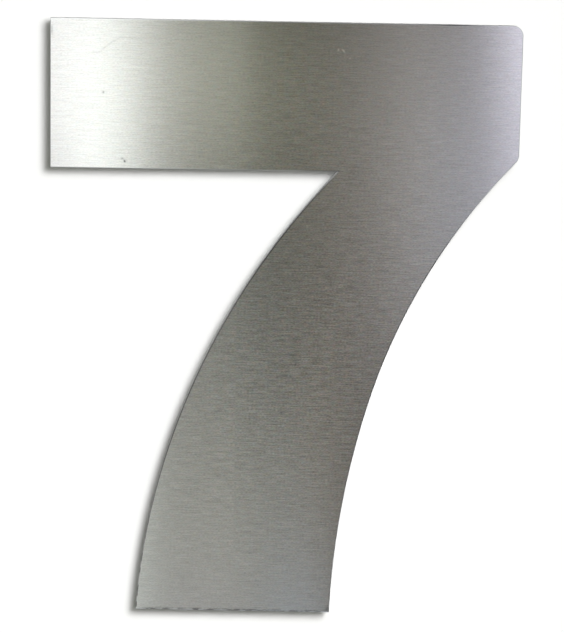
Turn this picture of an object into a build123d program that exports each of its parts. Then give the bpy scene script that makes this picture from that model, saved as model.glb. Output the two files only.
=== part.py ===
from build123d import *
import math
import os

# A house number: the numeral 7 cut from brushed stainless sheet. Three threaded studs
# are welded to its back, and a sleeve on each holds the sheet off the wall.
# Millimetres. +X is to the right and +Z up as the number is read, and +Y points into
# the wall. The origin is on the wall's surface, on the axis of the foot's stud.

# Numeral, seen from the front and measured from the bar's left end and the foot's base
numeral_height = 200.0
numeral_width = 154.7
bar_height = 49.2  # at its left end
bar_taper = 0.4  # how far the bar's underside rises on its way to the crook
foot_offset = 29.4  # from the bar's left end to the foot's left corner
foot_width = 66.0
crook_offset = 95.3  # from the bar's left end to the corner between bar and stem
end_face_height = 43.8  # the bar's right end, down to where the stem's outer edge starts
end_corner_radius = 3.3  # both corners of the bar's right end

# The stem's two edges: one arc inside, two arcs that run smoothly together outside
inner_edge_bow = 14.4  # how far the inner edge bulges from the line between its ends
outer_edge_lean = 88.25  # degrees from level, at the foot
outer_foot_radius = 292.3
outer_foot_sweep = 14.5  # degrees

# Sheet
sheet_thickness = 3.0
front_edge_radius = 0.3  # the ground edge round the front face

# Fixing
wall_gap = 5.0  # between the wall and the sheet's back
stud_inset = 25.0  # studs from the bar's two ends, and from the foot's base
stud_diameter = 4.0
stud_length = 35.0  # from the sheet's back to the tip
stud_tip_chamfer = 0.5
flange_diameter = 5.5
flange_thickness = 1.0
sleeve_clearance = 0.35  # between a flange and the bore of its sleeve, all round
sleeve_wall = 1.9
sleeve_edge_chamfer = 0.3

# Places that follow from these sizes, in the numeral's own measure
foot_stud = (foot_offset + foot_width / 2, stud_inset)
bar_stud_height = numeral_height - bar_height / 2
stud_places = {
    "bar_left": (stud_inset, bar_stud_height),
    "bar_right": (numeral_width - stud_inset, bar_stud_height),
    "foot": foot_stud,
}

sheet_back = Plane.XZ.offset(wall_gap)  # faces the reader, as the sheet's front does


def from_origin(across, up):
    """A place in the numeral's own measure, counted from the foot's stud."""
    return (across - foot_stud[0], up - foot_stud[1])


def into_wall(place, depth):
    """A plane square to the studs, centred on one, facing the wall at this depth."""
    across, up = from_origin(*place)
    return Plane(origin=(across, depth, up), x_dir=(1, 0, 0), z_dir=(0, 1, 0))


def make_numeral():
    """The flat 7 with its curved stem and the rounded edge of its front face."""
    underside = numeral_height - bar_height
    crook = from_origin(crook_offset, underside + bar_taper)
    foot_left = from_origin(foot_offset, 0)
    foot_right = from_origin(foot_offset + foot_width, 0)
    shoulder = from_origin(numeral_width, numeral_height - end_face_height)
    lean = math.radians(outer_edge_lean)

    with BuildPart() as numeral:
        with BuildSketch(sheet_back) as face:
            with BuildLine():
                Polyline(
                    crook,
                    from_origin(0, underside),
                    from_origin(0, numeral_height),
                    from_origin(numeral_width, numeral_height),
                    shoulder,
                )
                outer_foot = JernArc(
                    start=foot_right,
                    tangent=(math.cos(lean), math.sin(lean)),
                    radius=outer_foot_radius,
                    arc_size=-outer_foot_sweep,
                )
                TangentArc(outer_foot @ 1, shoulder, tangent=outer_foot % 1)
                Line(foot_left, foot_right)
                SagittaArc(foot_left, crook, inner_edge_bow)
            make_face()
            fillet(face.vertices().group_by(Axis.X)[-1], end_corner_radius)
        extrude(amount=sheet_thickness)
        front_face = numeral.faces().sort_by(Axis.Y)[0]
        fillet(front_face.edges(), front_edge_radius)
    return numeral.part


def make_stud(place):
    """A welded stud: its flange on the sheet's back and its shank, chamfered at the tip."""
    root = into_wall(place, -wall_gap)
    with BuildPart() as stud:
        with BuildSketch(root):
            Circle(flange_diameter / 2)
        extrude(amount=flange_thickness)
        with BuildSketch(root):
            Circle(stud_diameter / 2)
        extrude(amount=stud_length)
        tip_edge = stud.edges().filter_by(GeomType.CIRCLE).sort_by(Axis.Y)[-1]
        chamfer(tip_edge, stud_tip_chamfer)
    return stud.part


def make_sleeve(place):
    """A loose sleeve round a stud, from the sheet's back to the wall."""
    bore_radius = flange_diameter / 2 + sleeve_clearance
    with BuildPart() as sleeve:
        with BuildSketch(into_wall(place, -wall_gap)):
            Circle(bore_radius + sleeve_wall)
            Circle(bore_radius, mode=Mode.SUBTRACT)
        extrude(amount=wall_gap)
        chamfer(sleeve.edges().filter_by(GeomType.CIRCLE), sleeve_edge_chamfer)
    return sleeve.part


def write_piece(piece, node):
    """Labels a finished piece and writes it as a STEP file of its own."""
    piece.label = node
    export_step(piece, f"parts/{node}.step")


os.makedirs("parts", exist_ok=True)
write_piece(make_numeral(), "numeral_plate")
for name, place in stud_places.items():
    write_piece(make_stud(place), f"stud_{name}")
    write_piece(make_sleeve(place), f"spacer_{name}")
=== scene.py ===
import math

import bmesh
import bpy
from mathutils import Matrix, Vector


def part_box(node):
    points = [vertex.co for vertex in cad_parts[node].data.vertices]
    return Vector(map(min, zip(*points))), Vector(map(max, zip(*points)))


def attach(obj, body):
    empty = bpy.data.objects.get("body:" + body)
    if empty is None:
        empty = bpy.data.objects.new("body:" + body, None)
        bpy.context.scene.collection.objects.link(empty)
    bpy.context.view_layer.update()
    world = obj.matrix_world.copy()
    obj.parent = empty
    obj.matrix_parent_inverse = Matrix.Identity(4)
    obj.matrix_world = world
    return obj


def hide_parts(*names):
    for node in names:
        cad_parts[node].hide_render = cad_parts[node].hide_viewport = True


# A house number: the numeral 7 in brushed stainless sheet, carried by three threaded
# studs and held off a white wall by a sleeve on each. Metres. +X is to the right, +Z up
# and +Y into the wall, whose surface is at y = 0.

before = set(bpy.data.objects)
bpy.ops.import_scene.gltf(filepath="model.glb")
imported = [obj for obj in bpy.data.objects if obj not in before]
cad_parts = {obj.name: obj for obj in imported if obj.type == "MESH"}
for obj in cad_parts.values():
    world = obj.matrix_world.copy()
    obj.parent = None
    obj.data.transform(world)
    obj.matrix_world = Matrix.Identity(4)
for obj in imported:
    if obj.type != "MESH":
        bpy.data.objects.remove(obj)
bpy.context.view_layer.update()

MM = 0.001
plate_low, plate_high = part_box("numeral_plate")
LEFT, FRONT, FOOT = plate_low
RIGHT, BACK, TOP = plate_high
STUDS = ("bar_left", "bar_right", "foot")

# The numeral's outline
BAR_HEIGHT = 49.2 * MM  # at its left end
BAR_TAPER = 0.4 * MM  # how far the bar's underside rises on its way to the crook
FOOT_OFFSET = 29.4 * MM  # from the bar's left end to the foot's left corner
FOOT_WIDTH = 66.0 * MM
CROOK_OFFSET = 95.3 * MM  # from the bar's left end to the corner between bar and stem
END_FACE_HEIGHT = 43.8 * MM
END_CORNER_RADIUS = 3.3 * MM
INNER_EDGE_BOW = 14.4 * MM
OUTER_EDGE_LEAN = math.radians(88.25)
OUTER_FOOT_RADIUS = 292.3 * MM
OUTER_FOOT_SWEEP = math.radians(14.5)
ARC_STEP = 1.2 * MM  # the longest straight piece in a drawn arc
ARC_TURN = 0.15  # the largest turn from one straight piece to the next, in radians

# The sheet's edges, and its four surfaces in the order of its materials
FRONT_ROUND = 0.3 * MM
BACK_ROUND = 0.12 * MM
ROUND_STEPS = 5
FACE_SIDE, CUT_SIDE, BACK_SIDE, ROUND_SIDE = range(4)

# The studs' M4 thread, and the flange at their root
PITCH = 0.7 * MM
CREST_RADIUS = 1.98 * MM
CREST_WIDTH = PITCH / 8
ROOT_RADIUS = 1.57 * MM
FLANK_SLANT = math.radians(30)
NECK_RADIUS = 1.78 * MM
TIP_RADIUS = 1.5 * MM
RUN_OUT = 1.2 * MM  # where the thread fades into the neck
FLANGE_THICKNESS = 1.0 * MM
FLANGE_ROUND = 0.12 * MM
THREAD_SIDES = 32

# The sleeves
SLEEVE_BORE_RADIUS = 3.1 * MM
SLEEVE_CHAMFER = 0.3 * MM
SLEEVE_SIDES = 72

# Corners this close are one corner, and edges this short are none
SAME_CORNER = 1e-7
NO_EDGE = 1e-8

# The camera, aimed at a place on the face
AIM_ACROSS = 77.5 * MM  # from the bar's left end
AIM_UP = 102.4 * MM  # from the foot
VIEW_DISTANCE = 792.9 * MM
VIEW_PITCH = math.radians(10.07)  # looking down
VIEW_ROLL = math.radians(1.084)
LENS = 135.34
SENSOR = 36.0

# The lamp, which lights the wall alone, and the weak even light round it. Its disc is
# brightest in the middle: a share of its light comes from each of three radii
LAMP_FROM_CAMERA = Vector((0.235, 0, 0.19))
LAMP_LEVEL = 55.5
LAMP_DISCS = ((0.12, 0.35), (0.2, 0.4), (0.28, 0.25))
AMBIENT = 0.16
AMBIENT_TINT = (1.0, 1.03, 0.87, 1)
WHITE = (1, 1, 1, 1)

# The wall
WALL_HALF = 2.0
WALL_COLOUR = (0.9, 0.9, 0.9, 1)

# The cards that the sheet mirrors, in front of it and behind it, with soft glows on them.
# A glow: across and up, its reach to the left, to the right, and both up and down (mm),
# and its light in red, green and blue
CARD_HALF = 0.45
FRONT_CARD = FRONT - 60 * MM
BACK_CARD = 150 * MM
CARD_DARK = 0.01
FRONT_GLOWS = (
    # a tall narrow strip left of the stem, for the bar's left half and the stem's inner side
    (-50, 10, 15, 15, 235, (0.82, 0.89, 0.85)),
    # the brightest, on the bar's left end
    (-70, 155, 35, 35, 80, (1.74, 1.74, 1.76)),
    # a low sheen along the middle of the bar
    (-15, 155, 45, 45, 30, (0.6, 0.6, 0.45)),
    # a weaker one over it, which ends firmly on its right
    (-2, 180, 45, 4, 70, (0.15, 0.16, 0.15)),
    # a cool strip high over the bar's right end
    (110, 350, 20, 20, 250, (2.55, 2.5, 2.9)),
    # the stem's upper part, and a cool gleam along its outer edge
    (65, 125, 30, 30, 110, (0.51, 0.48, 0.46)),
    (75, 105, 15, 25, 45, (0.08, 0.11, 0.17)),
    # the stem's lower part
    (-10, -45, 50, 40, 120, (0.61, 0.61, 0.54)),
    # a warm strip under the foot's right corner
    (30, -235, 15, 15, 245, (0.34, 0.28, 0.2)),
    # a cool gleam on that corner, and a faint blue one on the whole foot
    (25, -120, 15, 15, 60, (0.15, 0.35, 0.65)),
    (-15, -130, 30, 30, 50, (0.0, 0.0, 0.3)),
    # seen in the face only from the left
    (200, 60, 50, 50, 250, (0.6, 0.6, 0.6)),
    # the rounded edges alone: over the bar, under the foot, and far out at both sides
    (-90, 310, 50, 50, 60, (2.0, 2.0, 2.0)),
    (10, -290, 130, 130, 80, (0.54, 0.54, 0.73)),
    (-330, 60, 110, 110, 400, (0.9, 0.9, 0.9)),
    (360, 60, 110, 110, 400, (0.9, 0.9, 0.9)),
)
BACK_GLOWS = (
    (-60, 120, 110, 110, 160, (0.9, 0.9, 0.9)),
    (160, -60, 90, 90, 200, (0.55, 0.56, 0.58)),
    (-300, 0, 120, 120, 400, (0.7, 0.7, 0.7)),
    (330, 200, 120, 120, 300, (1.1, 1.1, 1.1)),
)

# The metals' own colours, and the tints that welding leaves on the back, each with its
# reach round a stud (mm)
FACE_STEEL = (0.6, 0.6, 0.59)
ROUND_STEEL = (0.56, 0.57, 0.57)
CUT_STEEL = (0.58, 0.575, 0.565)
BACK_STEEL = (0.54, 0.54, 0.53, 1)
FIXING_STEEL = (0.6, 0.6, 0.6)
STRAW_TINT = (0.6, 0.47, 0.3, 1)
STRAW_REACH = 8.5
BLUE_TINT = (0.3, 0.33, 0.42, 1)
BLUE_REACH = 5.4
TINT_SHARE = 0.75

# Marks on the face: across and up in the numeral's own measure, half the length and half
# the width (mm), the turn from level (degrees), and how much lighter or darker
FACE_MARKS = (
    # bright nicks near the top of the bar
    (94.3, 191.1, 0.4, 0.3, 70, 0.8),
    (96.0, 190.9, 0.7, 0.27, -45, 0.9),
    (98.2, 188.5, 0.3, 0.25, 0, 0.4),
    # dark specks on its left half, and its dull upper left corner
    (17.5, 175.9, 0.35, 0.35, 0, -0.6),
    (23.8, 154.2, 0.4, 0.3, 0, -0.45),
    (24.6, 153.3, 0.42, 0.32, -50, -0.9),
    (0.5, 196.0, 0.3, 1.6, 0, -0.4),
    # a light scratch near its right end
    (127.0, 161.5, 2.2, 0.3, 8, 0.14),
    # a faint dark scratch that curves over its left end, and a light one beside it
    (14.7, 188.9, 2.0, 0.3, 4, -0.12),
    (17.7, 190.4, 2.4, 0.3, 38, -0.12),
    (21.2, 192.9, 2.6, 0.3, 30, -0.12),
    (26.0, 193.9, 3.6, 0.3, -3, -0.12),
    (29.2, 184.2, 4.5, 0.25, 0, 0.1),
    # a slanting scratch on the foot, and the foot's dark right corner
    (65.4, 17.4, 4.6, 0.35, -35, 0.08),
    (94.7, 1.2, 1.4, 0.6, 60, -0.35),
)

# Patches of the cut edge and of the round before it, given as the marks are. Most are painted shade and
# painted highlights
EDGE_PATCHES = (
    # painted shade: darker down the stem's inner side, where the edge would mirror a dark room, and less
    # so beside the crook, where a painted highlight lightens it
    (76, 128, 50, 10, 57, -0.9),
    (42, 62, 40, 8, 70, -0.7),
    (82, 151, 12, 2.5, 0, 0.5),
    # darker at one place on the bar's top, and a painted highlight on the left of that top
    (132, 200, 9, 3, 0, -0.75),
    (45, 200, 75, 10, 0, 0.35),
)
# Patches of that round alone: painted shade, a thin dark line along the stem's outer edge, where the
# round would mirror a dark room
ROUND_PAINTED_SHADE = (
    (129, 120, 20, 6, 56, -0.65),
    (108, 76, 50, 8, 68, -0.8),
)

# Level patches: across and up, half the length and half the width (mm)
# painted glints: the light marks among the nick marks round the foot
NICKS_AND_GLINTS = (50, 0, 60, 24)  # where the round is nicked, round the foot
BURR = (60, 0.45, 36, 0.3)  # the face's burr, close along the foot's base
COARSE_STEM = (88, 88, 45, 68)  # where the face is brushed more coarsely
COARSE_BAR = (82, 176, 16, 30)
STAINED_BAR = (85, 176, 65, 30)  # where the bar's colour is more uneven


class Shell:
    """Collects a mesh: its corners, its faces with their surface, and their flat coordinates."""

    def __init__(self):
        self.corners = []
        self.faces = []
        self.surfaces = []
        self.flat = []

    def ring(self, points):
        """Adds a run of points and returns their numbers."""
        first = len(self.corners)
        self.corners.extend(points)
        return list(range(first, len(self.corners)))

    def face(self, corners, flat=None, surface=0):
        self.faces.append(corners)
        self.flat.extend(flat or [(0, 0)] * len(corners))
        self.surfaces.append(surface)

    def band(self, one, other, along, one_depth, other_depth, surface=0):
        """Joins two closed rings by four-sided faces.

        along has the distance round at each corner, and once more at the first.
        """
        count = len(one)
        for i in range(count):
            j = (i + 1) % count
            flat = [
                (along[i], one_depth),
                (along[i + 1], one_depth),
                (along[i + 1], other_depth),
                (along[i], other_depth),
            ]
            self.face([one[i], one[j], other[j], other[i]], flat, surface)

    def object(self, name, materials, sharp_over=30):
        """The finished object, smooth but for its sharp edges, with its flat faces kept flat."""
        mesh = bpy.data.meshes.new(name)
        mesh.from_pydata(self.corners, [], self.faces)
        layer = mesh.uv_layers.new(name="surface")
        for entry, uv in zip(layer.data, self.flat):
            entry.uv = uv
        for polygon, surface in zip(mesh.polygons, self.surfaces):
            polygon.material_index = surface
        for material in materials:
            mesh.materials.append(material)
        mesh.update()
        mesh.shade_smooth()
        mesh.set_sharp_from_angle(angle=math.radians(sharp_over))
        made = bpy.data.objects.new(name, mesh)
        bpy.context.scene.collection.objects.link(made)
        weighted = made.modifiers.new("flat faces stay flat", "WEIGHTED_NORMAL")
        weighted.keep_sharp = True
        weighted.weight = 100
        return made


def arc(centre, radius, first, last):
    """Points round an arc between two angles, both ends included. Plane vectors are (x, z)."""
    sweep = last - first
    by_length = math.ceil(abs(sweep) * radius / ARC_STEP)
    by_turn = math.ceil(abs(sweep) / ARC_TURN)
    steps = max(2, by_length, by_turn)
    angles = [first + sweep * i / steps for i in range(steps + 1)]
    return [centre + radius * Vector((math.cos(a), math.sin(a))) for a in angles]


def angle_of(v):
    return math.atan2(v.y, v.x)


def outer_edge(foot_right):
    """The stem's outer edge and the bar's right end, from the foot up to the bar's top."""
    # Two arcs that turn right on the way up and share a tangent
    outward = Vector((math.sin(OUTER_EDGE_LEAN), -math.cos(OUTER_EDGE_LEAN)))
    low_centre = foot_right + OUTER_FOOT_RADIUS * outward
    low_first = angle_of(-outward)
    low_arc = arc(low_centre, OUTER_FOOT_RADIUS, low_first, low_first - OUTER_FOOT_SWEEP)
    joint = low_arc[-1]
    outward = (low_centre - joint).normalized()
    shoulder = Vector((RIGHT, TOP - END_FACE_HEIGHT))
    chord = shoulder - joint
    high_radius = chord.length_squared / (2 * chord.dot(outward))
    high_centre = joint + high_radius * outward

    # The rounded corner between the upper arc and the bar's right end
    round_x = RIGHT - END_CORNER_RADIUS
    reach = high_radius + END_CORNER_RADIUS
    round_z = high_centre.y + math.sqrt(reach**2 - (round_x - high_centre.x) ** 2)
    low_round = Vector((round_x, round_z))
    to_round = low_round - high_centre
    high_arc = arc(high_centre, high_radius, angle_of(joint - high_centre), angle_of(to_round))
    low_corner = arc(low_round, END_CORNER_RADIUS, angle_of(-to_round), 0)

    high_round = Vector((round_x, TOP - END_CORNER_RADIUS))
    high_corner = arc(high_round, END_CORNER_RADIUS, 0, math.pi / 2)
    return low_arc + high_arc[1:] + low_corner[1:] + high_corner


def inner_edge(crook, foot_left):
    """The stem's inner edge: one arc from the crook down to the foot."""
    chord = foot_left - crook
    radius = (chord.length / 2) ** 2 / (2 * INNER_EDGE_BOW) + INNER_EDGE_BOW / 2
    right_hand = Vector((chord.y, -chord.x)).normalized()
    middle = (crook + foot_left) / 2
    centre = middle - right_hand * (radius - INNER_EDGE_BOW)
    return arc(centre, radius, angle_of(crook - centre), angle_of(foot_left - centre))


def numeral_outline():
    """The 7 seen from the front, from the foot's right corner round with the metal on the left."""
    foot_left = Vector((LEFT + FOOT_OFFSET, FOOT))
    foot_right = foot_left + Vector((FOOT_WIDTH, 0))
    crook = Vector((LEFT + CROOK_OFFSET, TOP - BAR_HEIGHT + BAR_TAPER))
    bar_end = [Vector((LEFT, TOP)), Vector((LEFT, TOP - BAR_HEIGHT))]
    return outer_edge(foot_right) + bar_end + inner_edge(crook, foot_left)


def inset_directions(outline):
    """For each outline point, how far it moves for each metre that its edges move inwards."""
    directions = []
    count = len(outline)
    for i in range(count):
        before = (outline[i] - outline[i - 1]).normalized()
        after = (outline[(i + 1) % count] - outline[i]).normalized()
        in_before = Vector((-before.y, before.x))
        in_after = Vector((-after.y, after.x))
        mean = (in_before + in_after).normalized()
        directions.append(mean / mean.dot(in_before))
    return directions


def edge_section():
    """The sheet's edge from back to front: each ring's inset and depth, and the surface behind it."""
    quarter = math.radians(90)
    section = []
    for i in range(ROUND_STEPS):
        turn = quarter * i / (ROUND_STEPS - 1)
        inset = BACK_ROUND * (1 - math.sin(turn))
        section.append((inset, BACK - BACK_ROUND * (1 - math.cos(turn)), CUT_SIDE))
    for i in range(ROUND_STEPS + 1):
        turn = quarter * i / ROUND_STEPS
        inset = FRONT_ROUND * (1 - math.cos(turn))
        surface = ROUND_SIDE if i > 0 else CUT_SIDE
        section.append((inset, FRONT + FRONT_ROUND * (1 - math.sin(turn)), surface))
    return section


def distances_round(outline):
    """How far round the outline each point lies, and once more the first, after a whole turn."""
    along = [0.0]
    for i in range(len(outline)):
        step = outline[(i + 1) % len(outline)] - outline[i]
        along.append(along[-1] + step.length)
    return along


def make_numeral(materials):
    """The sheet: its face and back are flat, and its edge is rounded towards both."""
    outline = numeral_outline()
    inwards = inset_directions(outline)
    along = distances_round(outline)
    section = edge_section()
    shell = Shell()
    rings = []
    for inset, y, _ in section:
        places = [p + inset * d for p, d in zip(outline, inwards)]
        rings.append(shell.ring([(p.x, y, p.y) for p in places]))
    for i in range(1, len(rings)):
        one_depth = section[i - 1][1]
        other_depth, surface = section[i][1:]
        shell.band(rings[i - 1], rings[i], along, one_depth, other_depth, surface)
    for ring, surface in ((rings[0][::-1], BACK_SIDE), (rings[-1], FACE_SIDE)):
        flat = [(shell.corners[i][0], shell.corners[i][2]) for i in ring]
        shell.face(ring, flat, surface)
    return shell.object("brushed_numeral", materials)


def circle(radius, y, sides):
    """Points round the Y axis at one depth."""
    turns = [2 * math.pi * i / sides for i in range(sides)]
    return [(radius * math.sin(t), y, radius * math.cos(t)) for t in turns]


def thread_radius(y, blank, root, tip):
    """The thread's radius at a depth, where blank is its full radius there.

    It fades in at the neck, and the tip's chamfer cuts it down.
    """
    fade = min(max((y - root) / RUN_OUT, 0), 1)
    faded = NECK_RADIUS + (blank - NECK_RADIUS) * fade * fade * (3 - 2 * fade)
    return min(faded, TIP_RADIUS + (tip - y))


def add_thread(shell, root, tip):
    """Winds a right-hand thread: rows that go once round and deeper by one pitch."""
    slope = (CREST_RADIUS - ROOT_RADIUS) * math.tan(FLANK_SLANT)
    valley = PITCH - CREST_WIDTH - 2 * slope
    profile = [
        (0.0, ROOT_RADIUS),
        (valley, ROOT_RADIUS),
        (valley + slope, CREST_RADIUS),
        (valley + slope + CREST_WIDTH, CREST_RADIUS),
    ]
    rows = []
    turns = math.ceil((tip - root) / PITCH) + 2
    for number in range(turns * len(profile)):
        offset, blank = profile[number % len(profile)]
        start = root + (number // len(profile) - 1) * PITCH + offset
        row = []
        for side in range(THREAD_SIDES):
            y = min(max(start + PITCH * side / THREAD_SIDES, root), tip)
            radius = thread_radius(y, blank, root, tip)
            angle = 2 * math.pi * side / THREAD_SIDES
            row.append((radius * math.sin(angle), y, radius * math.cos(angle)))
        rows.append(shell.ring(row))
    for one, other in zip(rows, rows[1:]):
        for side in range(THREAD_SIDES - 1):
            shell.face([one[side], one[side + 1], other[side + 1], other[side]])
    # Each row's end meets the start of the row one turn further on
    further = rows[len(profile) :]
    for number in range(len(further) - 1):
        one, other = rows[number], rows[number + 1]
        next_one, next_other = further[number], further[number + 1]
        shell.face([one[-1], next_one[0], next_other[0], other[-1]])


def add_flange(shell, radius, back, root):
    """The flange, from the thread's root to the sheet's back, with its rim broken."""
    profile = [
        (NECK_RADIUS, root),
        (radius - FLANGE_ROUND, root),
        (radius - 0.3 * FLANGE_ROUND, root - 0.3 * FLANGE_ROUND),
        (radius, root - FLANGE_ROUND),
        (radius, back),
    ]
    rings = [shell.ring(circle(r, y, THREAD_SIDES)) for r, y in profile]
    along = [i / THREAD_SIDES for i in range(THREAD_SIDES + 1)]
    for one, other in zip(rings, rings[1:]):
        shell.band(one, other, along, 0, 1)
    shell.face(rings[-1])


def make_stud(name, low, high, material):
    """A welded stud about the Y axis: the flange, a short neck and the thread."""
    root = low.y + FLANGE_THICKNESS
    tip = high.y
    shell = Shell()
    add_thread(shell, root, tip)
    add_flange(shell, (high.x - low.x) / 2, low.y, root)
    shell.face(shell.ring(circle(TIP_RADIUS, tip, THREAD_SIDES)))
    made = shell.object(name, [material], sharp_over=25)
    seal(made)
    return made


def make_sleeve(name, low, high, material):
    """A turned sleeve about the Y axis, chamfered at all four of its edges."""
    outer = (high.x - low.x) / 2
    near, far = low.y, high.y
    c = SLEEVE_CHAMFER
    profile = [
        (SLEEVE_BORE_RADIUS, near + c),
        (SLEEVE_BORE_RADIUS + c, near),
        (outer - c, near),
        (outer, near + c),
        (outer, far - c),
        (outer - c, far),
        (SLEEVE_BORE_RADIUS + c, far),
        (SLEEVE_BORE_RADIUS, far - c),
    ]
    shell = Shell()
    rings = [shell.ring(circle(r, y, SLEEVE_SIDES)) for r, y in profile]
    along = [outer * 2 * math.pi * i / SLEEVE_SIDES for i in range(SLEEVE_SIDES + 1)]
    for i in range(len(rings)):
        j = (i + 1) % len(rings)
        shell.band(rings[i], rings[j], along, profile[i][1], profile[j][1])
    made = shell.object(name, [material])
    seal(made)
    return made


def seal(made):
    """Joins corners that lie on each other and turns all faces outwards."""
    work = bmesh.new()
    work.from_mesh(made.data)
    bmesh.ops.remove_doubles(work, verts=work.verts, dist=SAME_CORNER)
    bmesh.ops.dissolve_degenerate(work, dist=NO_EDGE, edges=work.edges)
    bmesh.ops.recalc_face_normals(work, faces=work.faces)
    work.to_mesh(made.data)
    work.free()


class Nodes:
    """A node tree, with short names for what the materials, the lamps and the world share."""

    def __init__(self, tree):
        self.tree = tree

    def node(self, kind, values=None, **settings):
        """A node with these settings. values maps its inputs to numbers or to other nodes' outputs."""
        made = self.tree.nodes.new(kind)
        for name, value in settings.items():
            setattr(made, name, value)
        for key, value in (values or {}).items():
            if isinstance(value, bpy.types.NodeSocket):
                self.tree.links.new(value, made.inputs[key])
            else:
                made.inputs[key].default_value = value
        return made

    def calculate(self, operation, *values):
        made = self.node("ShaderNodeMath", dict(enumerate(values)), operation=operation)
        return made.outputs[0]

    def vector(self, operation, *values):
        made = self.node("ShaderNodeVectorMath", dict(enumerate(values)), operation=operation)
        return made.outputs["Value" if operation == "DOT_PRODUCT" else "Vector"]

    def mix(self, share, one, other):
        """The colour one, or as much of the other as the share says."""
        made = self.node("ShaderNodeMix", {0: share, 6: one, 7: other}, data_type="RGBA")
        return made.outputs[2]


class Shader(Nodes):
    """The nodes of one material, with what the surfaces of this object share."""

    def __init__(self, name):
        self.material = bpy.data.materials.new(name)
        self.material.use_nodes = True
        super().__init__(self.material.node_tree)
        self.tree.nodes.clear()
        self.place = self.node("ShaderNodeTexCoord").outputs["Object"]

    def noise(self, size, detail=2.0, roughness=0.6, place=None):
        """Noise about zero, whose patches have this size along x, y and z in millimetres."""
        scale = [0.0 if s is None else 1 / (s * MM) for s in size]
        spread = self.vector("MULTIPLY", place or self.place, scale)
        values = {"Vector": spread, "Scale": 1.0, "Detail": detail, "Roughness": roughness}
        made = self.node("ShaderNodeTexNoise", values)
        return self.calculate("SUBTRACT", made.outputs["Fac"], 0.5)

    def total(self, *parts):
        """The sum of noises, each given with its weight."""
        whole = 0.0
        for part, weight in parts:
            whole = self.calculate("MULTIPLY_ADD", part, weight, whole)
        return whole

    def tinted(self, colour, change):
        """The colour made lighter or darker by a share of itself."""
        return self.vector("MULTIPLY", colour, self.calculate("ADD", change, 1.0))

    def mottled(self, colour, warmth, pink):
        """The colour shifted to warm or cool and to pink or green by two noises."""
        for shift, amount in (((0.5, 0.0, -0.6), warmth), ((0.3, -0.35, 0.2), pink)):
            factor = self.vector("MULTIPLY_ADD", shift, amount, (1, 1, 1))
            colour = self.vector("MULTIPLY", colour, factor)
        return colour

    def fade(self, far):
        """One where far is zero, and soon nothing past one. far is a distance squared."""
        return self.calculate("EXPONENT", self.calculate("MULTIPLY", far, -1))

    def stroke(self, across, up, length, width, turn=0):
        """One on a soft stroke on the sheet, fading to nothing round it.

        Its middle is in the numeral's own measure, and length and width are half its
        reach, all in mm. The turn from level is in degrees.
        """
        turn = math.radians(turn)
        centre = (LEFT + across * MM, 0, FOOT + up * MM)
        along = (math.cos(turn) / (length * MM), 0, math.sin(turn) / (length * MM))
        beside = (-math.sin(turn) / (width * MM), 0, math.cos(turn) / (width * MM))
        away = self.vector("SUBTRACT", self.place, centre)
        far = 0.0
        for direction in (along, beside):
            part = self.vector("DOT_PRODUCT", away, direction)
            far = self.calculate("MULTIPLY_ADD", part, part, far)
        return self.fade(far)

    def patches(self, rows):
        """The sum of soft strokes, each given with how much it changes the surface."""
        return self.total(*((self.stroke(*row[:-1]), row[-1]) for row in rows))

    def between(self, value, low, high, new_low, new_high):
        """The value carried over from one range to another, and kept inside the new one."""
        keys = ("Value", "From Min", "From Max", "To Min", "To Max")
        values = (value, low, high, new_low, new_high)
        return self.node("ShaderNodeMapRange", dict(zip(keys, values))).outputs[0]

    def flat_place(self):
        """The place on the unrolled edge: how far round, and how deep."""
        return self.node("ShaderNodeUVMap", uv_map="surface").outputs[0]

    def flat_tangent(self):
        """The direction round the edge, or level across the face."""
        return self.node("ShaderNodeTangent", direction_type="UV_MAP", uv_map="surface").outputs[0]

    def bump(self, height, strength, distance):
        values = {"Strength": strength, "Distance": distance, "Height": height}
        return self.node("ShaderNodeBump", values).outputs[0]

    def show(self, shader):
        """Puts a shader on the material's output and gives the material."""
        self.node("ShaderNodeOutputMaterial", {"Surface": shader.outputs[0]})
        return self.material

    def metal(self, values):
        """The material, as bare metal with these values."""
        return self.show(self.node("ShaderNodeBsdfPrincipled", {"Metallic": 1.0, **values}))


def brushed_face():
    """Stainless steel ground in level strokes: short and long lines, coarser where bar and stem meet."""
    s = Shader("brushed_face")
    short = s.noise((0.75, None, 0.25), detail=1.0)
    lines = s.noise((3.6, None, 0.34))
    long = s.noise((11.0, None, 0.4))
    clouds = s.noise((3.0, None, 1.8))
    rough = s.total((s.stroke(*COARSE_STEM), 1.0), (s.stroke(*COARSE_BAR), 0.35))
    coarse = s.calculate("MULTIPLY_ADD", rough, 1.8, 1.0)
    grain = s.total((short, 0.5), (lines, 0.42), (long, 0.36), (clouds, 0.12))
    grain = s.calculate("MULTIPLY", grain, coarse)
    burr = s.between(s.noise((3.5, None, 2.0), detail=3.0), -0.06, 0.1, -0.6, 0)
    burr = s.calculate("MULTIPLY", burr, s.stroke(*BURR))
    marks = s.calculate("ADD", s.patches(FACE_MARKS), burr)
    stain = s.calculate("MULTIPLY_ADD", rough, 0.42, 0.1)
    stain = s.calculate("MULTIPLY_ADD", s.stroke(*STAINED_BAR), 0.17, stain)
    warmth = s.calculate("MULTIPLY", s.noise((2.4, None, 0.9), detail=1.0), stain)
    pink = s.calculate("MULTIPLY", s.noise((2.0, None, 1.1), detail=1.0), stain)
    steel = s.mottled(FACE_STEEL, warmth, pink)
    scratches = s.noise((5.0, None, 0.14))
    return s.metal(
        {
            "Base Color": s.tinted(steel, s.calculate("ADD", grain, marks)),
            "Roughness": s.calculate("ADD", 0.34, s.total((clouds, 0.06), (lines, 0.1))),
            "Anisotropic": 1.0,
            "Anisotropic Rotation": 0.25,
            "Tangent": s.flat_tangent(),
            "Normal": s.bump(scratches, 0.5, 4e-6),
        }
    )


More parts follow.
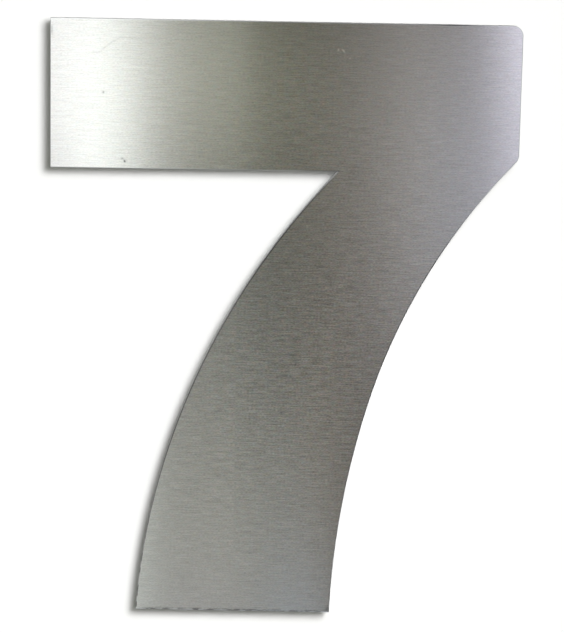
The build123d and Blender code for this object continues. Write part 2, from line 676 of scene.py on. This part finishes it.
def ground_edge():
    """The narrow round between face and cut edge: even along the bar, with small nick marks round the
    foot among painted glints, and patches of painted shade and painted highlights.
    """
    s = Shader("ground_edge")
    nick_and_glint_noise = s.noise((4.0, 1.0, None), place=s.flat_place())
    # dark values for the nick marks, light values painted as glints
    nick_and_glint_dashes = s.between(nick_and_glint_noise, -0.05, 0.05, -0.8, 0.45)
    nicks_and_glints = s.calculate("MULTIPLY", nick_and_glint_dashes, s.stroke(*NICKS_AND_GLINTS))
    # painted shade and painted highlights from the patches, with the nick marks and their painted glints
    change = s.calculate("ADD", s.patches(EDGE_PATCHES + ROUND_PAINTED_SHADE), nicks_and_glints)
    return s.metal({"Base Color": s.tinted(ROUND_STEEL, change), "Roughness": 0.3})


def cut_edge():
    """The laser-cut edge: close ridges through the sheet's thickness, with patches that are mostly
    painted shade and painted highlights.
    """
    s = Shader("cut_edge")
    ridges = s.noise((0.5, 9.0, None), place=s.flat_place())
    patches = s.noise((4.0, 4.0, 4.0))
    # the edge patches: mostly painted shade and painted highlights
    change = s.total((ridges, 0.5), (patches, 0.3), (s.patches(EDGE_PATCHES), 1.0))
    return s.metal(
        {
            "Base Color": s.tinted(CUT_STEEL, change),
            "Roughness": s.calculate("ADD", 0.42, s.total((patches, 0.2))),
            "Anisotropic": 0.5,
            "Tangent": s.flat_tangent(),
            "Normal": s.bump(ridges, 1.0, 4e-5),
        }
    )


def mill_back():
    """The sheet's back as it was rolled: dull, cloudy, and tinted by the welding round each stud."""
    s = Shader("mill_back")
    rolled = s.noise((0.5, None, 14.0), detail=3.0)
    clouds = s.noise((9.0, None, 9.0), detail=3.0)
    steel = BACK_STEEL
    for tint, reach in ((STRAW_TINT, STRAW_REACH), (BLUE_TINT, BLUE_REACH)):
        amount = 0.0
        for place in STUDS:
            axis = axis_of(f"stud_{place}")
            halo = s.stroke((axis.x - LEFT) / MM, (axis.z - FOOT) / MM, reach, reach)
            amount = s.calculate("ADD", amount, halo)
        steel = s.mix(s.calculate("MULTIPLY", amount, TINT_SHARE), steel, tint)
    return s.metal(
        {
            "Base Color": s.tinted(steel, s.total((rolled, 0.16), (clouds, 0.22))),
            "Roughness": s.calculate("ADD", 0.34, s.total((clouds, 0.2))),
        }
    )


def thread_steel():
    """The studs' bright rolled thread, a little patchy."""
    s = Shader("thread_steel")
    patches = s.noise((1.2, 2.4, 1.2), detail=3.0)
    return s.metal(
        {
            "Base Color": s.tinted(FIXING_STEEL, s.total((patches, 0.3))),
            "Roughness": s.calculate("ADD", 0.24, s.total((patches, 0.3))),
        }
    )


def turned_steel():
    """The sleeves' turned steel, with fine rings left by the tool."""
    s = Shader("turned_steel")
    rings = s.noise((8.0, 0.12, 8.0))
    tangent = s.node("ShaderNodeTangent", direction_type="RADIAL", axis="Y")
    return s.metal(
        {
            "Base Color": s.tinted(FIXING_STEEL, s.total((rings, 0.4))),
            "Roughness": s.calculate("ADD", 0.3, s.total((rings, 0.2))),
            "Anisotropic": 0.7,
            "Anisotropic Rotation": 0.25,
            "Tangent": tangent.outputs[0],
            "Normal": s.bump(rings, 0.6, 1e-5),
        }
    )


def plane(name, half, y, material):
    """A flat square stage piece across the Y axis."""
    corners = [(-half, y, -half), (half, y, -half), (half, y, half), (-half, y, half)]
    mesh = bpy.data.meshes.new(name)
    mesh.from_pydata(corners, [], [(0, 1, 2, 3)])
    mesh.materials.append(material)
    made = bpy.data.objects.new(name, mesh)
    bpy.context.scene.collection.objects.link(made)
    return made


def wall_paint():
    """White paint, seen from the room only."""
    s = Shader("wall_paint")
    paint = s.node("ShaderNodeBsdfDiffuse", {"Color": WALL_COLOUR})
    back = s.node("ShaderNodeNewGeometry").outputs["Backfacing"]
    clear = s.node("ShaderNodeBsdfTransparent")
    return s.show(s.node("ShaderNodeMixShader", {0: back, 1: paint.outputs[0], 2: clear.outputs[0]}))


def make_wall():
    """The wall, which only takes the number's shadow and is seen."""
    wall = plane("wall", WALL_HALF, 0, wall_paint())
    wall.visible_glossy = False
    wall.visible_diffuse = False
    wall.visible_shadow = False


def light_card(name, glows):
    """A dark card with soft glows on it."""
    s = Shader(name)
    total = (CARD_DARK,) * 3
    for across, up, left, right, height, colour in glows:
        away = s.vector("SUBTRACT", s.place, (across * MM, 0, up * MM))
        after = s.vector("MULTIPLY", away, (1 / (right * MM), 0, 1 / (height * MM)))
        before = s.vector("MULTIPLY", away, (-1 / (left * MM), 0, -1 / (height * MM)))
        reach = s.vector("MAXIMUM", after, before)
        glow = s.fade(s.vector("DOT_PRODUCT", reach, reach))
        total = s.vector("MULTIPLY_ADD", colour, glow, total)
    return s.show(s.node("ShaderNodeEmission", {"Color": total}))


def make_card(name, y, glows):
    """Hangs a card across the Y axis, where only mirrored rays meet it."""
    card = plane(name, CARD_HALF, y, light_card(name, glows))
    card.visible_camera = False
    card.visible_diffuse = False
    card.visible_shadow = False
    card.visible_transmission = False


def make_lamp(radius, share):
    """A round soft lamp, right of the camera and over it. It lights the whole wall alike."""
    light = bpy.data.lights.new("lamp", "POINT")
    light.shadow_soft_size = radius
    light.energy = 1.0
    light.use_nodes = True
    nodes = Nodes(light.node_tree)
    falloff = nodes.node("ShaderNodeLightFalloff", {"Strength": LAMP_LEVEL * share})
    path = nodes.node("ShaderNodeLightPath")
    level = nodes.calculate("MULTIPLY", falloff.outputs["Constant"], path.outputs["Ray Length"])
    nodes.tree.links.new(level, nodes.tree.nodes["Emission"].inputs["Strength"])
    lamp = bpy.data.objects.new("lamp", light)
    bpy.context.scene.collection.objects.link(lamp)
    lamp.location = bpy.context.scene.camera.location + LAMP_FROM_CAMERA
    lamp.visible_camera = False
    lamp.visible_glossy = False


def make_world():
    """White wherever it is seen or mirrored, and a weak even light elsewhere."""
    world = bpy.data.worlds.new("world")
    bpy.context.scene.world = world
    world.use_nodes = True
    world.node_tree.nodes.clear()
    nodes = Nodes(world.node_tree)
    path = nodes.node("ShaderNodeLightPath").outputs
    mirrored = nodes.calculate("MAXIMUM", path["Is Glossy Ray"], path["Is Transmission Ray"])
    direct = nodes.calculate("LESS_THAN", path["Diffuse Depth"], 0.5)
    mirrored = nodes.calculate("MULTIPLY", mirrored, direct)
    seen = nodes.calculate("MAXIMUM", path["Is Camera Ray"], mirrored)
    colour = nodes.mix(seen, AMBIENT_TINT, WHITE)
    strength = nodes.calculate("MAXIMUM", seen, AMBIENT)
    background = nodes.node("ShaderNodeBackground", {"Color": colour, "Strength": strength})
    nodes.node("ShaderNodeOutputWorld", {"Surface": background.outputs[0]})


def make_camera():
    """The camera, which looks down at the face from the photograph's place."""
    data = bpy.data.cameras.new("camera")
    data.lens = LENS
    data.sensor_width = SENSOR
    camera = bpy.data.objects.new("camera", data)
    bpy.context.scene.collection.objects.link(camera)
    aim = Vector((LEFT + AIM_ACROSS, FRONT, FOOT + AIM_UP))
    back = Vector((0, -math.cos(VIEW_PITCH), math.sin(VIEW_PITCH)))
    upright = Matrix.Rotation(math.radians(90) - VIEW_PITCH, 4, "X")
    turn = upright @ Matrix.Rotation(VIEW_ROLL, 4, "Z")
    camera.matrix_world = Matrix.Translation(aim + VIEW_DISTANCE * back) @ turn
    bpy.context.scene.camera = camera


def axis_of(node):
    """Where a round node's axis stands, on the wall's surface."""
    low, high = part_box(node)
    return Vector(((low.x + high.x) / 2, 0, (low.z + high.z) / 2))


def fit_piece(make, name, node, material):
    """Makes a piece about the axis of the node that it replaces, and puts it there."""
    low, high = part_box(node)
    axis = axis_of(node)
    piece = make(name, low - axis, high - axis, material)
    piece.location = axis
    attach(piece, "root")
    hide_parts(node)


bpy.context.scene.view_settings.view_transform = "Standard"
make_camera()
make_world()
for radius, share in LAMP_DISCS:
    make_lamp(radius, share)
make_wall()
make_card("front_card", FRONT_CARD, FRONT_GLOWS)
make_card("back_card", BACK_CARD, BACK_GLOWS)

numeral = make_numeral([brushed_face(), cut_edge(), mill_back(), ground_edge()])
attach(numeral, "root")
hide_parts("numeral_plate")
thread = thread_steel()
turned = turned_steel()
for place in STUDS:
    fit_piece(make_stud, f"threaded_stud_{place}", f"stud_{place}", thread)
    fit_piece(make_sleeve, f"turned_sleeve_{place}", f"spacer_{place}", turned)
